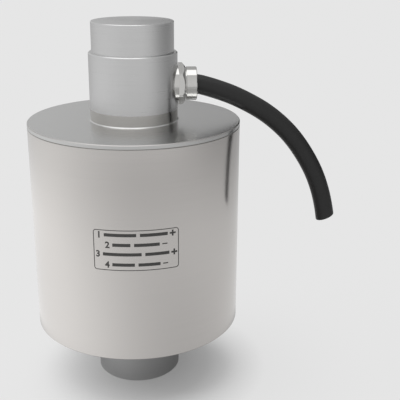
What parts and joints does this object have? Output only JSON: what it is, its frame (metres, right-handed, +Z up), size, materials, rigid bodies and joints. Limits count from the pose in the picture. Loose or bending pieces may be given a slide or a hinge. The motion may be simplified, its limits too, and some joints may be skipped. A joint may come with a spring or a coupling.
{
  "type": "compression load cell",
  "caption": "Cylindrical steel load cell for compression, with a lower stud, a canister housing, a neck with a loading button and a side cable gland with a short cable.",
  "frame": {"origin": "centre of the lower stud's end face, on the load axis", "axes": "+Z up along the load axis to the loading button; +X towards the cable gland; +Y completes the right-handed frame"},
  "size_m": [0.1715, 0.115, 0.2025],
  "materials": {
    "column_steel": "fine turned satin",
    "housing_steel": "satin",
    "nickel_fittings": "polished",
    "gauge_film": "thin film, matte",
    "board_laminate": "matte",
    "solder_pins": "tinned",
    "resistor_body": "matte",
    "wire_red": "smooth",
    "wire_black": "smooth",
    "wire_green": "smooth",
    "wire_white": "smooth",
    "gauge_wire_enamel": "enamelled",
    "potting_resin": "matte",
    "seal_rubber": "matte",
    "cable_jacket": "smooth, half matte"
  },
  "bodies": {
    "root": {"strain_column": "column_steel", "canister_shell": "housing_steel", "top_lid": "housing_steel", "base_plate": "housing_steel", "gauge_front": "gauge_film", "gauge_right": "gauge_film", "gauge_back": "gauge_film", "gauge_left": "gauge_film", "terminal_board": "board_laminate", "board_pillars": "nickel_fittings", "board_screws": "nickel_fittings", "terminal_pins": "solder_pins", "trim_resistors": "resistor_body", "lead_wire_red": "wire_red", "lead_wire_black": "wire_black", "lead_wire_green": "wire_green", "lead_wire_white": "wire_white", "gauge_wires": "gauge_wire_enamel", "potting_plug": "potting_resin", "gland_body": "nickel_fittings", "gland_gasket": "seal_rubber", "gland_seal": "seal_rubber", "gland_clamp_ring": "nickel_fittings", "gland_nut": "nickel_fittings", "cable": "cable_jacket"}
  },
  "joints": []
}
